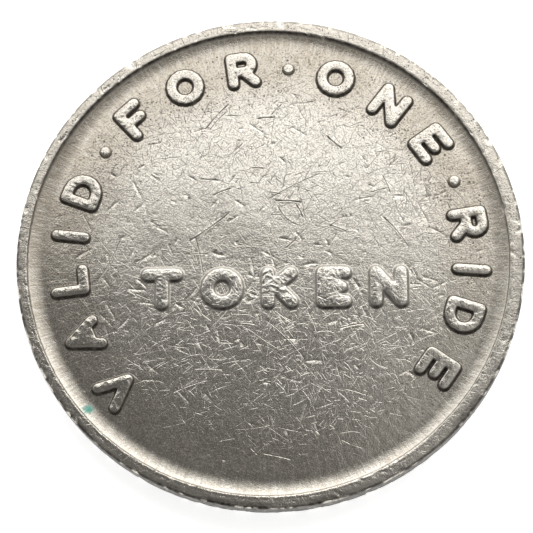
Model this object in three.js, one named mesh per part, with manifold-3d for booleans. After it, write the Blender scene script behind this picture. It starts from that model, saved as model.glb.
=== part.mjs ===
// A transit token: a struck metal disc with a raised rim on both faces. The obverse carries a
// legend round the rim, a word across the middle and round pellets between the words of the
// legend. The reverse carries the front of a tramcar on its track. The token lies on its reverse:
// +Z is the obverse's way out, +Y is the top of the legend, and the origin is the centre of the
// bottom. Lengths are millimetres and angles degrees.
import * as THREE from "three";
import { mergeVertices } from "three/addons/utils/BufferGeometryUtils.js";
import Module from "manifold-3d";

const wasm = await Module();
wasm.setup();

// The blank
const DIAMETER = 23.0;
const THICKNESS = 1.2;
const EDGE_ROUND = 0.1; // rounding where the rim's land meets the edge
const RIM_LAND_INSIDE = 10.95; // radius where the rim's flat land ends
const RECESS_DEPTH = 0.22; // from the rim's land down to the field
const RIM_WALL_RISE = 0.075; // the steep part of the rim's inner side
const RIM_WALL_RUN = 0.06;
const RAMP_WIDTH = 0.74; // the field curves up to the rim over this width
const RAMP_CURVE = 1.6; // 1 would be a straight slope, 2 a parabola
const STRIKE_OFFSET = 0.09; // the dies met the blank this far off its centre
const BLANK_FACETS = 96;
const ROUND_FACETS = 3;
const RAMP_FACETS = 5;

// The lettering: strokes with round ends and sloping flanks
const RELIEF = 0.18; // height of the letters over the field
const FLANK_RUN = 0.07; // how far a flank leans in between the field and the top
const LEGEND_RADIUS = 9.12; // middle of the legend's letters
const LEGEND_HEIGHT = 1.27; // between the centre lines of the highest and the lowest strokes
const LEGEND_STROKE = 0.56;
const LEGEND_TEXT = "VALID FOR ONE RIDE";
const LEGEND_START = 227; // angle of the first letter's left side, turning clockwise from there
const LEGEND_SWEEP = 267;
const WORD_SPACE = 2.4; // a space between words, in letter gaps
const WORD_TEXT = "TOKEN";
const WORD_HEIGHT = 1.34;
const WORD_STROKE = 0.68;
const WORD_WIDTH = 12.1;
const WORD_MIDDLE_Y = -1.45;
const WORD_MIDDLE_X = 0.2;

// The pellets between the legend's words
const PELLET_RADIUS = 0.32;
const PELLET_FACETS = 16;
const PELLET_RINGS = 3;

// The tramcar on the reverse
const CAR_RELIEF = 0.1;
const CAR_WIDTH = 7.4;
const CAR_SHOULDER_WIDTH = 6.2;
const CAR_FOOT = -3.6;
const CAR_ROOF = 4.2;
const CAR_CORNER = 0.9;
const SCREEN_INSET = 0.75;
const SCREEN_FOOT = -0.2;
const SCREEN_TOP = 2.3;
const BOARD_WIDTH = 3.4;
const BOARD_FOOT = 2.85;
const BOARD_TOP = 3.65;
const WINDOW_CORNER = 0.3;
const LAMP_RADIUS = 0.55;
const LAMP_X = 2.3;
const LAMP_Y = -2.1;
const BUMPER_Y = -4.35;
const BUMPER_HALF = 2.9;
const DEVICE_STROKE = 0.45;
const PANTOGRAPH_FOOT = 4.8;
const PANTOGRAPH_TOP = 6.9;
const PANTOGRAPH_HALF = 1.25;
const CONTACT_BAR_HALF = 1.9;
const TRACK_TOP = -5.25;
const TRACK_FOOT = -7.9;
const TRACK_TOP_HALF = 1.5;
const TRACK_FOOT_HALF = 2.6;
const SLEEPER_OVERHANG = 0.8;
const SLEEPERS = 3;

const STROKE_END_FACETS = 6; // in the half circle at a stroke's end
const BOWL_FACETS = 16; // in a full turn of a round stroke
const FIELD_TOP = THICKNESS - RECESS_DEPTH;
const FIELD_BOTTOM = RECESS_DEPTH;
const radius = DIAMETER / 2;
const radians = THREE.MathUtils.degToRad;

const token = new THREE.Group();
const metal = new THREE.MeshStandardMaterial({ color: 0xa8a297, roughness: 0.36, metalness: 1.0 });
const wornMetal = new THREE.MeshStandardMaterial({ color: 0xb9b3a7, roughness: 0.32, metalness: 1.0 });

// A closed three.js geometry as a manifold-3d solid.
function solidOf(geometry) {
  const bare = geometry.clone();
  bare.deleteAttribute("normal");
  bare.deleteAttribute("uv");
  const merged = mergeVertices(bare, 1e-4);
  return new wasm.Manifold(
    new wasm.Mesh({
      numProp: 3,
      vertProperties: new Float32Array(merged.attributes.position.array),
      triVerts: new Uint32Array(merged.index.array),
    }),
  );
}

// A manifold-3d solid as a three.js geometry.
function geometryOf(solid) {
  const mesh = solid.getMesh();
  const geometry = new THREE.BufferGeometry();
  geometry.setAttribute("position", new THREE.BufferAttribute(mesh.vertProperties, 3));
  geometry.setIndex(new THREE.BufferAttribute(mesh.triVerts, 1));
  geometry.computeVertexNormals();
  return geometry;
}

// A solid of revolution about Z from a profile of [radius, height] pairs.
function turned(profile, facets) {
  const points = profile.map(([r, z]) => new THREE.Vector2(r, z));
  return new THREE.LatheGeometry(points, facets).rotateX(Math.PI / 2);
}

function addPiece(group, name, solid, material) {
  const mesh = new THREE.Mesh(geometryOf(solid), material);
  mesh.name = name;
  group.add(mesh);
  return mesh;
}

// ---------------------------------------------------------------- the blank

// The outline of the struck blank before its faces are sunk, from the axis out and back.
function puckProfile() {
  const profile = [[0, 0]];
  for (let i = 0; i <= ROUND_FACETS; i++) {
    const turn = (Math.PI / 2) * (i / ROUND_FACETS);
    profile.push([
      radius - EDGE_ROUND + EDGE_ROUND * Math.sin(turn),
      EDGE_ROUND - EDGE_ROUND * Math.cos(turn),
    ]);
  }
  for (let i = 0; i <= ROUND_FACETS; i++) {
    const turn = (Math.PI / 2) * (i / ROUND_FACETS);
    profile.push([
      radius - EDGE_ROUND + EDGE_ROUND * Math.cos(turn),
      THICKNESS - EDGE_ROUND + EDGE_ROUND * Math.sin(turn),
    ]);
  }
  profile.push([0, THICKNESS]);
  return profile;
}

// What a die sinks into one face: a flat field, a ramp that curves up and a steep wall.
// The profile is measured up from the field.
function recessProfile() {
  const wallFoot = RIM_LAND_INSIDE - RIM_WALL_RUN;
  const rampRise = RECESS_DEPTH - RIM_WALL_RISE;
  const profile = [[0, 0]];
  for (let i = 0; i <= RAMP_FACETS; i++) {
    const share = i / RAMP_FACETS;
    profile.push([wallFoot - RAMP_WIDTH * (1 - share), rampRise * share ** RAMP_CURVE]);
  }
  profile.push([RIM_LAND_INSIDE, RECESS_DEPTH]);
  profile.push([RIM_LAND_INSIDE, THICKNESS]);
  profile.push([0, THICKNESS]);
  return profile;
}

function makeBlank() {
  const puck = solidOf(turned(puckProfile(), BLANK_FACETS));
  const recess = turned(recessProfile(), BLANK_FACETS);
  const obverse = recess.clone().translate(-STRIKE_OFFSET, 0, FIELD_TOP);
  const reverse = recess.clone().rotateY(Math.PI).translate(STRIKE_OFFSET, 0, FIELD_BOTTOM);
  addPiece(token, "blank", puck.subtract(solidOf(obverse)).subtract(solidOf(reverse)), metal);
}

// ---------------------------------------------------------------- raised shapes

// Points of an arc, both ends included.
function arcPoints(x, y, r, from, to, facets) {
  const points = [];
  for (let i = 0; i <= facets; i++) {
    const turn = radians(from + ((to - from) * i) / facets);
    points.push(new THREE.Vector2(x + r * Math.cos(turn), y + r * Math.sin(turn)));
  }
  return points;
}

// The outline of a straight stroke with round ends.
function lineShape([x0, y0, x1, y1], stroke) {
  const along = THREE.MathUtils.radToDeg(Math.atan2(y1 - y0, x1 - x0));
  return new THREE.Shape([
    ...arcPoints(x0, y0, stroke / 2, along + 90, along + 270, STROKE_END_FACETS),
    ...arcPoints(x1, y1, stroke / 2, along - 90, along + 90, STROKE_END_FACETS),
  ]);
}

// The outline of a stroke along an arc: a ring if it is a full turn, and else round at both ends.
function arcShape([x, y, r, from, to], stroke) {
  const facets = Math.max(2, Math.round((BOWL_FACETS * Math.abs(to - from)) / 360));
  if (to - from === 360) {
    const ring = new THREE.Shape(arcPoints(x, y, r + stroke / 2, 0, 360, facets).slice(1));
    ring.holes.push(new THREE.Path(arcPoints(x, y, r - stroke / 2, 0, 360, facets).slice(1)));
    return ring;
  }
  const [startX, startY] = [x + r * Math.cos(radians(from)), y + r * Math.sin(radians(from))];
  const [endX, endY] = [x + r * Math.cos(radians(to)), y + r * Math.sin(radians(to))];
  return new THREE.Shape([
    ...arcPoints(x, y, r + stroke / 2, from, to, facets),
    ...arcPoints(endX, endY, stroke / 2, to, to + 180, STROKE_END_FACETS).slice(1, -1),
    ...arcPoints(x, y, r - stroke / 2, to, from, facets),
    ...arcPoints(startX, startY, stroke / 2, from - 180, from, STROKE_END_FACETS).slice(1, -1),
  ]);
}

// A shape raised over z = 0, with flanks that lean in towards the top. It is made too deep and cut
// off flat at z = 0, so that it stands on the field face to face.
function raised(shapes, rise, run) {
  let whole = null;
  for (const shape of shapes) {
    const geometry = new THREE.ExtrudeGeometry(shape, {
      depth: rise,
      bevelThickness: rise,
      bevelSize: run,
      bevelOffset: -run,
      bevelSegments: 1,
    }).translate(0, 0, -rise);
    const solid = solidOf(geometry);
    whole = whole ? whole.add(solid) : solid;
  }
  const below = new THREE.BoxGeometry(DIAMETER, DIAMETER, DIAMETER).translate(0, 0, -radius);
  return whole.subtract(solidOf(below));
}

// ---------------------------------------------------------------- the letters

// Each glyph is drawn on a cap height of 1: its width, its straight strokes [x0, y0, x1, y1] and
// its round ones [x, y, radius, from, to].
const GLYPHS = {
  A: { width: 0.92, lines: [[0, 0, 0.46, 1], [0.46, 1, 0.92, 0], [0.2, 0.3, 0.72, 0.3]] },
  D: {
    width: 0.85,
    lines: [[0, 0, 0, 1], [0, 1, 0.35, 1], [0, 0, 0.35, 0]],
    arcs: [[0.35, 0.5, 0.5, -90, 90]],
  },
  E: { width: 0.74, lines: [[0, 0, 0, 1], [0, 1, 0.74, 1], [0, 0.5, 0.6, 0.5], [0, 0, 0.74, 0]] },
  F: { width: 0.74, lines: [[0, 0, 0, 1], [0, 1, 0.74, 1], [0, 0.5, 0.6, 0.5]] },
  I: { width: 0, lines: [[0, 0, 0, 1]] },
  K: { width: 0.8, lines: [[0, 0, 0, 1], [0, 0.36, 0.76, 1], [0.26, 0.56, 0.8, 0]] },
  L: { width: 0.74, lines: [[0, 0, 0, 1], [0, 0, 0.74, 0]] },
  N: { width: 0.84, lines: [[0, 0, 0, 1], [0, 1, 0.84, 0], [0.84, 0, 0.84, 1]] },
  O: { width: 1, lines: [], arcs: [[0.5, 0.5, 0.5, 0, 360]] },
  R: {
    width: 0.8,
    lines: [[0, 0, 0, 1], [0, 1, 0.46, 1], [0, 0.44, 0.46, 0.44], [0.4, 0.44, 0.8, 0]],
    arcs: [[0.46, 0.72, 0.28, -90, 90]],
  },
  T: { width: 0.96, lines: [[0, 1, 0.96, 1], [0.48, 1, 0.48, 0]] },
  V: { width: 0.92, lines: [[0, 1, 0.46, 0], [0.46, 0, 0.92, 1]] },
};

// A letter's solid, its cap height centred on the origin.
function letterSolid(letter, height, stroke) {
  const glyph = GLYPHS[letter];
  const lines = glyph.lines.map(([x0, y0, x1, y1]) =>
    lineShape([x0 * height, y0 * height, x1 * height, y1 * height], stroke),
  );
  const arcs = (glyph.arcs ?? []).map(([x, y, r, from, to]) =>
    arcShape([x * height, y * height, r * height, from, to], stroke),
  );
  const centre = [(-glyph.width * height) / 2, -height / 2, 0];
  return raised([...lines, ...arcs], RELIEF, FLANK_RUN).translate(centre);
}

// Where each letter of a text stands along its line, with equal gaps between the letters'
// outlines, and where the spaces between the words are. Lengths run from 0 to length.
function setText(text, height, stroke, length) {
  const inked = [...text].map((c) => (c === " " ? 0 : GLYPHS[c].width * height + stroke));
  const words = text.split(" ").length;
  const gaps = text.length - 1 - 2 * (words - 1) + WORD_SPACE * (words - 1);
  const gap = (length - inked.reduce((sum, width) => sum + width, 0)) / gaps;
  const letters = [];
  const spaces = [];
  let along = 0;
  [...text].forEach((c, i) => {
    if (c === " ") {
      along += (WORD_SPACE - 1) * gap;
      spaces.push(along - (WORD_SPACE * gap) / 2);
    } else {
      letters.push({ letter: c, at: along + inked[i] / 2 });
      along += inked[i] + gap;
    }
  });
  return { letters, spaces };
}

const obverse = new THREE.Group();
obverse.position.z = FIELD_TOP;
token.add(obverse);

// Puts a mesh on the legend's circle, its top towards the rim, at an angle from +X.
function standOnCircle(mesh, angle) {
  mesh.position.x = LEGEND_RADIUS * Math.cos(radians(angle));
  mesh.position.y = LEGEND_RADIUS * Math.sin(radians(angle));
  mesh.rotation.z = radians(angle - 90);
}

function makeLegend() {
  const length = radians(LEGEND_SWEEP) * LEGEND_RADIUS;
  const set = setText(LEGEND_TEXT, LEGEND_HEIGHT, LEGEND_STROKE, length);
  const angleAt = (along) => LEGEND_START - (LEGEND_SWEEP * along) / length;
  set.letters.forEach(({ letter, at }, i) => {
    const name = `legend_letter_${String(i + 1).padStart(2, "0")}_${letter.toLowerCase()}`;
    const solid = letterSolid(letter, LEGEND_HEIGHT, LEGEND_STROKE);
    standOnCircle(addPiece(obverse, name, solid, wornMetal), angleAt(at));
  });
  set.spaces.forEach((at, i) => {
    const name = `legend_pellet_${i + 1}`;
    standOnCircle(addPiece(obverse, name, domeSolid(PELLET_RADIUS, RELIEF), wornMetal), angleAt(at));
  });
}

function makeWord() {
  const set = setText(WORD_TEXT, WORD_HEIGHT, WORD_STROKE, WORD_WIDTH);
  set.letters.forEach(({ letter, at }, i) => {
    const name = `word_letter_${i + 1}_${letter.toLowerCase()}`;
    const mesh = addPiece(obverse, name, letterSolid(letter, WORD_HEIGHT, WORD_STROKE), wornMetal);
    mesh.position.x = WORD_MIDDLE_X - WORD_WIDTH / 2 + at;
    mesh.position.y = WORD_MIDDLE_Y;
  });
}

// A low dome on z = 0.
function domeSolid(domeRadius, rise) {
  const profile = [[0, 0]];
  for (let i = 0; i < PELLET_RINGS; i++) {
    const turn = (Math.PI / 2) * (i / PELLET_RINGS);
    profile.push([domeRadius * Math.cos(turn), rise * Math.sin(turn)]);
  }
  profile.push([0, rise]);
  return solidOf(turned(profile, PELLET_FACETS));
}

// ---------------------------------------------------------------- the reverse

const reverse = new THREE.Group();
reverse.rotation.y = Math.PI;
reverse.position.z = FIELD_BOTTOM;
token.add(reverse);

// A symmetrical four-sided outline with rounded corners, wider or narrower at its top.
function roundedShape(Kind, footHalf, topHalf, foot, top, corner) {
  const shape = new Kind();
  shape.moveTo(-footHalf + corner, foot);
  shape.lineTo(footHalf - corner, foot);
  shape.quadraticCurveTo(footHalf, foot, footHalf, foot + corner);
  shape.lineTo(topHalf, top - corner);
  shape.quadraticCurveTo(topHalf, top, topHalf - corner, top);
  shape.lineTo(-topHalf + corner, top);
  shape.quadraticCurveTo(-topHalf, top, -topHalf, top - corner);
  shape.lineTo(-footHalf, foot + corner);
  shape.quadraticCurveTo(-footHalf, foot, -footHalf + corner, foot);
  return new Kind(shape.getPoints(2).slice(1));
}

function makeTramBody() {
  const footHalf = CAR_WIDTH / 2;
  const topHalf = CAR_SHOULDER_WIDTH / 2;
  const body = roundedShape(THREE.Shape, footHalf, topHalf, CAR_FOOT, CAR_ROOF, CAR_CORNER);
  const screenFoot = footHalf - SCREEN_INSET;
  const screenTop = topHalf - SCREEN_INSET;
  body.holes.push(
    roundedShape(THREE.Path, screenFoot, screenTop, SCREEN_FOOT, SCREEN_TOP, WINDOW_CORNER),
    roundedShape(THREE.Path, BOARD_WIDTH / 2, BOARD_WIDTH / 2, BOARD_FOOT, BOARD_TOP, WINDOW_CORNER),
  );
  addPiece(reverse, "tram_body", raised([body], CAR_RELIEF, FLANK_RUN), wornMetal);
}

function makeTramLamps() {
  for (const [side, name] of [[-1, "tram_headlamp_left"], [1, "tram_headlamp_right"]]) {
    const lamp = addPiece(reverse, name, domeSolid(LAMP_RADIUS, RELIEF - CAR_RELIEF), wornMetal);
    lamp.position.set(side * LAMP_X, LAMP_Y, CAR_RELIEF);
  }
}

// A node of straight strokes that stand on the field.
function makeStrokes(name, lines) {
  const shapes = lines.map((line) => lineShape(line, DEVICE_STROKE));
  addPiece(reverse, name, raised(shapes, RELIEF, FLANK_RUN), wornMetal);
}

function makeTramFittings() {
  makeStrokes("tram_bumper", [[-BUMPER_HALF, BUMPER_Y, BUMPER_HALF, BUMPER_Y]]);
  const middle = (PANTOGRAPH_FOOT + PANTOGRAPH_TOP) / 2;
  makeStrokes("tram_pantograph", [
    [0, PANTOGRAPH_FOOT, -PANTOGRAPH_HALF, middle],
    [0, PANTOGRAPH_FOOT, PANTOGRAPH_HALF, middle],
    [-PANTOGRAPH_HALF, middle, 0, PANTOGRAPH_TOP],
    [PANTOGRAPH_HALF, middle, 0, PANTOGRAPH_TOP],
    [-CONTACT_BAR_HALF, PANTOGRAPH_TOP, CONTACT_BAR_HALF, PANTOGRAPH_TOP],
  ]);
}

function makeTrack() {
  const lines = [-1, 1].map((side) => [
    side * TRACK_TOP_HALF,
    TRACK_TOP,
    side * TRACK_FOOT_HALF,
    TRACK_FOOT,
  ]);
  for (let i = 0; i < SLEEPERS; i++) {
    const share = (i + 0.5) / SLEEPERS;
    const y = THREE.MathUtils.lerp(TRACK_TOP, TRACK_FOOT, share);
    const half = THREE.MathUtils.lerp(TRACK_TOP_HALF, TRACK_FOOT_HALF, share) + SLEEPER_OVERHANG;
    lines.push([-half, y, half, y]);
  }
  makeStrokes("track", lines);
}

makeBlank();
makeLegend();
makeWord();
makeTramBody();
makeTramLamps();
makeTramFittings();
makeTrack();

export default token;
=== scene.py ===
"""A struck transit token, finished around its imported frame.

The frame gives the blank, the lettering, the pellets and the tramcar as plain solids. Each operator
below turns one of them, or a group of like ones, into the struck and worn metal that it stands for.
"""
import math

import bpy
import numpy as np
from mathutils import Matrix, Vector, geometry


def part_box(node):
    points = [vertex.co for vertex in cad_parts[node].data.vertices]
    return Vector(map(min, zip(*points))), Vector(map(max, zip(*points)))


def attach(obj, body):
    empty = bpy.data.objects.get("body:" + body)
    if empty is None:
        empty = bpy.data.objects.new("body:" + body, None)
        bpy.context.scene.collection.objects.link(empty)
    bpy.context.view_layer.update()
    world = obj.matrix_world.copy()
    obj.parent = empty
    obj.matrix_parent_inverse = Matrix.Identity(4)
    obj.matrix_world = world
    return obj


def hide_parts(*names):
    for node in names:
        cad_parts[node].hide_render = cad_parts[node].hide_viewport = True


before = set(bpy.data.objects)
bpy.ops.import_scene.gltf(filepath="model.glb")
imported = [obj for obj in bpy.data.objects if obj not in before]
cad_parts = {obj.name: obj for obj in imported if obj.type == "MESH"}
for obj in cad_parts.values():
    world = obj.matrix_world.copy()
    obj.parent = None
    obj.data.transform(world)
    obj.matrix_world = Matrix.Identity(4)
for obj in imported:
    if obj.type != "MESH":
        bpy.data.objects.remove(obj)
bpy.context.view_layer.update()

bl_info = {
    "name": "Transit Token",
    "version": (1, 0, 0),
    "blender": (4, 5, 0),
    "location": "3D View > Sidebar > Token",
    "description": "Builds a struck and worn transit token around its frame",
    "category": "Add Mesh",
}

# ---- what the frame says, in mm

MM = 0.001
BODY = "root"


def box_mm(node):
    """The lowest and the highest corner of a CAD node, in millimetres."""
    low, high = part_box(node)
    return np.array(low) / MM, np.array(high) / MM


_, BLANK_CORNER = box_mm("blank")
RADIUS = BLANK_CORNER[0]
THICKNESS = BLANK_CORNER[2]
LEGEND = sorted(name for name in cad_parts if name.startswith("legend_letter"))
PELLETS = sorted(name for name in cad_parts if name.startswith("legend_pellet"))
WORD = sorted(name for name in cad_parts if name.startswith("word_letter"))
LAMPS = ("tram_headlamp_left", "tram_headlamp_right")
DEVICE = ("tram_body", "tram_bumper", "tram_pantograph", "track")
OBVERSE_FIELD = box_mm(LEGEND[0])[0][2]
REVERSE_FIELD = box_mm("track")[1][2]
RELIEF = box_mm(LEGEND[0])[1][2] - OBVERSE_FIELD

# ---- sizes, in mm

EDGE_ROUND = 0.1  # rounding where the rim's land meets the edge
LAND_DROP = 0.028  # how much lower the land's outer side is worn
RAMP_CURVE = 1.6  # 1 would be a straight slope, 2 a parabola
BURR_HEIGHT = 0.007  # mm, the ridge along the land's inner side
LAND_INSIDE = 10.95  # radius where the rim's land ends
STRIKE_OFFSET = 0.09  # how far off the blank's centre each die struck
SEGMENTS = 800  # round the rim
RAMP_RINGS = 9  # of those segments, one inside the other
LAND_RINGS = 9
ROUND_STEPS = 5
EDGE_STEPS = 10
OBVERSE_STEPS = (0.17, 0.1)  # between the points of a field, and along its scratches
REVERSE_STEPS = (0.27, 0.14)
LETTER_STEP = 0.025  # grid under a letter
DEVICE_STEP = 0.04
SKIRT = 0.07  # field that a letter's mesh carries round its foot
SKIRT_RISE = 0.003
SKIRT_DROP = 0.03
FOOT_DEPTH = 0.06  # how deep a relief piece is rooted in the blank


def length(name, default, description):
    """A size that is given in mm and kept in metres."""
    return bpy.props.FloatProperty(
        name=name, description=description, default=default * MM, unit="LENGTH", precision=5)


def number(name, default, description):
    return bpy.props.IntProperty(name=name, description=description, default=default, min=0)


def tint(name, default, description):
    return bpy.props.FloatVectorProperty(
        name=name, description=description, default=(*default, 1.0), subtype="COLOR", size=4, min=0, max=1)


class TokenShape(bpy.types.PropertyGroup):
    wall_rise: length("Rim wall height", 0.075, "Steep part of the rim's inner side")
    wall_run: length("Rim wall run", 0.06, "How far the rim's steep inner side leans")
    ramp_width: length("Ramp width", 0.74, "Width of the curve from the field up to the rim")
    dish: length("Field dish", -0.012, "How much lower the field's middle lies than its edge")
    flank: length("Letter flank", 0.075, "Run of a letter's sloping side")
    nicks: number("Rim nicks", 420, "Dents that handling left in the rim and the edge")
    chips: number("Edge chips", 150, "Flats that knocks cut across each edge")
    scratches: number("Scratches", 280, "Carved scratches on the obverse")


class TokenFinish(bpy.types.PropertyGroup):
    metal: tint("Metal", (0.69, 0.66, 0.597), "Colour of the bare cupronickel")
    toned: tint("Toned metal", (0.42, 0.375, 0.31), "Colour of the tarnished metal near the rim")
    # The dark colour that paints both the dirt and the painted shade in corners, grooves and at the feet
    grime: tint("Grime", (0.035, 0.028, 0.022), "Colour of the dirt in the corners")
    verdigris: tint("Verdigris", (0.06, 0.42, 0.34), "Colour of the copper salts in the rim's corner")


# ---- surfaces

def smooth(value):
    """An eased step from 0 to 1."""
    share = np.clip(value, 0, 1)
    return share * share * (3 - 2 * share)


def waves(seed, shortest, longest, count=48):
    """A smooth random surface about 1 high, as a function of x and y in mm."""
    rng = np.random.default_rng(seed)
    length = np.exp(rng.uniform(math.log(shortest), math.log(longest), count))
    turn = rng.uniform(0, 2 * math.pi, count)
    phase = rng.uniform(0, 2 * math.pi, count)
    weight = np.sqrt(length)
    weight = weight / math.sqrt((weight**2).sum() / 2)
    kx = 2 * math.pi * np.cos(turn) / length
    ky = 2 * math.pi * np.sin(turn) / length

    def surface(x, y):
        total = np.zeros(np.shape(x))
        for i in range(count):
            total = total + weight[i] * np.sin(kx[i] * x + ky[i] * y + phase[i])
        return total

    return surface


# The long scratches that handling left, in mm: start, end, sideways bow, half width, depth.
LONG_SCRATCHES = (
    ((3.09, -3.40), (4.24, -3.17), 0.05, 0.034, 0.0182),
    ((-3.37, 0.99), (-3.00, -0.89), 0.03, 0.032, 0.0154),
    ((-3.72, 0.77), (-1.77, 2.20), -0.06, 0.032, 0.0154),
    ((-6.77, 0.99), (-7.86, -1.12), 0.10, 0.028, 0.0096),
    ((-2.64, 2.95), (-1.70, 3.33), 0.02, 0.036, 0.0173),
    ((-2.96, 6.17), (-1.81, 7.47), 0.04, 0.032, 0.0134),
    ((-2.78, 6.10), (-1.95, 7.05), 0.04, 0.024, 0.0096),
    ((-0.61, 6.68), (0.33, 6.74), 0.01, 0.040, 0.0192),
    ((0.07, 6.82), (0.64, 7.42), 0.02, 0.028, 0.0115),
    ((2.62, 5.84), (3.41, 5.13), -0.05, 0.040, 0.0211),
    ((-0.87, 4.27), (-0.19, 4.24), 0.01, 0.036, 0.0173),
    ((-0.09, 2.74), (2.36, 3.99), 0.05, 0.024, 0.0086),
    ((-4.38, -6.25), (-2.71, -5.65), 0.05, 0.024, 0.0099),
    ((-3.44, -5.16), (-2.10, -5.20), 0.03, 0.024, 0.0099),
    ((6.34, -4.25), (6.74, -3.59), 0.02, 0.024, 0.0099),
    ((3.10, -8.41), (4.14, -8.83), -0.04, 0.021, 0.0074),
    ((-0.20, -2.95), (1.55, -4.80), 0.12, 0.021, 0.0083),
    ((5.10, 1.90), (6.30, 0.35), 0.08, 0.028, 0.0115),
    ((-0.91, -8.73), (-0.55, -9.10), 0.01, 0.029, 0.0132),
    ((-0.37, -9.00), (0.91, -9.29), 0.02, 0.029, 0.0121),
    ((-2.32, -8.44), (-1.50, -8.30), 0.01, 0.021, 0.0083),
    ((0.21, 2.69), (1.51, 2.58), 0.03, 0.038, 0.0186),
    ((1.17, 2.53), (1.51, 1.83), 0.04, 0.036, 0.0160),
    ((-0.08, 3.10), (0.56, 2.97), 0.02, 0.028, 0.0122),
    ((1.39, 3.36), (1.25, 3.05), 0.01, 0.031, 0.0141),
    ((0.37, 2.46), (1.26, 1.50), -0.14, 0.027, 0.0109),
    ((0.69, 3.86), (0.59, 3.26), 0.02, 0.027, 0.0109),
    ((1.26, 0.94), (0.65, 0.37), 0.04, 0.038, 0.0173),
    ((2.66, 1.50), (3.55, 1.14), 0.02, 0.027, 0.0109),
    ((3.17, 1.77), (2.72, 1.44), 0.01, 0.027, 0.0109),
    ((4.57, 3.00), (5.37, 3.21), 0.02, 0.027, 0.0115),
    ((5.14, 3.89), (5.53, 2.93), 0.03, 0.024, 0.0096),
    ((-3.77, 0.16), (-2.76, 0.18), 0.02, 0.027, 0.0109),
    ((1.68, -2.55), (2.09, -3.57), 0.05, 0.023, 0.0094),
    ((2.34, -2.97), (2.85, -2.58), 0.01, 0.021, 0.0083),
    ((-1.38, -3.04), (-0.65, -3.14), 0.01, 0.025, 0.0116),
    ((2.06, -1.85), (2.57, -2.10), 0.01, 0.031, 0.0149),
    ((-3.10, -1.55), (-2.50, -2.18), 0.01, 0.025, 0.0116),
    ((0.94, -6.39), (1.71, -5.89), 0.03, 0.023, 0.0094),
    ((2.16, -5.30), (1.98, -6.35), -0.12, 0.023, 0.0094),
)


class Scratch:
    """A groove with low lips, along a slightly bowed line."""

    def __init__(self, start, end, bow, half, depth):
        self.start, self.end = np.array(start), np.array(end)
        self.bow, self.half, self.depth = bow, half, depth
        run = self.end - self.start
        self.length = float(np.hypot(*run))
        self.along = run / self.length
        self.across = np.array([-self.along[1], self.along[0]])

    def line(self, offset, step):
        """Points along the groove, offset to one side."""
        count = max(3, int(self.length / step) + 1)
        share = np.linspace(0, 1, count)
        side = self.bow * 4 * share * (1 - share) + offset * np.sqrt(4 * share * (1 - share) + 0.02)
        return self.start + np.outer(share * self.length, self.along) + np.outer(side, self.across)

    def carve(self, x, y):
        """How far the surface moves at each point: down in the groove and up on its lips."""
        reach = self.half * 3 + abs(self.bow)
        low = np.minimum(self.start, self.end) - reach
        high = np.maximum(self.start, self.end) + reach
        near = (x > low[0]) & (x < high[0]) & (y > low[1]) & (y < high[1])
        move = np.zeros(np.shape(x))
        if not near.any():
            return move
        dx, dy = x[near] - self.start[0], y[near] - self.start[1]
        share = (dx * self.along[0] + dy * self.along[1]) / self.length
        inside = np.clip(4 * share * (1 - share), 0, 1)
        side = dx * self.across[0] + dy * self.across[1] - self.bow * 4 * share * (1 - share)
        off = np.abs(side) / self.half
        groove = -np.clip(1 - off, 0, 1) + 0.28 * np.clip(1 - np.abs(off - 1.25) / 0.6, 0, 1)
        fade = np.where((share > 0) & (share < 1), np.sqrt(inside), 0)
        move[near] = self.depth * groove * fade
        return move


def random_scratches(seed, count, reach):
    """Short scratches in all directions, fewer towards the rim."""
    rng = np.random.default_rng(seed)
    found = []
    while len(found) < count:
        r = reach * math.sqrt(rng.uniform())
        turn = rng.uniform(0, 2 * math.pi)
        if rng.uniform() < smooth((r / reach - 0.68) / 0.32) * 0.9:
            continue
        heading = rng.uniform(0, math.pi)
        length = 0.25 + 0.9 * rng.uniform() ** 2.2
        half = rng.uniform(0.011, 0.02)
        depth = half * rng.uniform(0.25, 0.5)
        middle = np.array([r * math.cos(turn), r * math.sin(turn)])
        run = 0.5 * length * np.array([math.cos(heading), math.sin(heading)])
        bow = length * rng.normal(0, 0.03)
        found.append(Scratch(middle - run, middle + run, bow, half, depth))
    return found


PITS = 260
PIT_REACH = 10.2  # mm
GROOVE_DARKENING_DEPTH = 0.0025  # mm, how deep a groove is when its dirt and painted shade fully darken it


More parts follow.
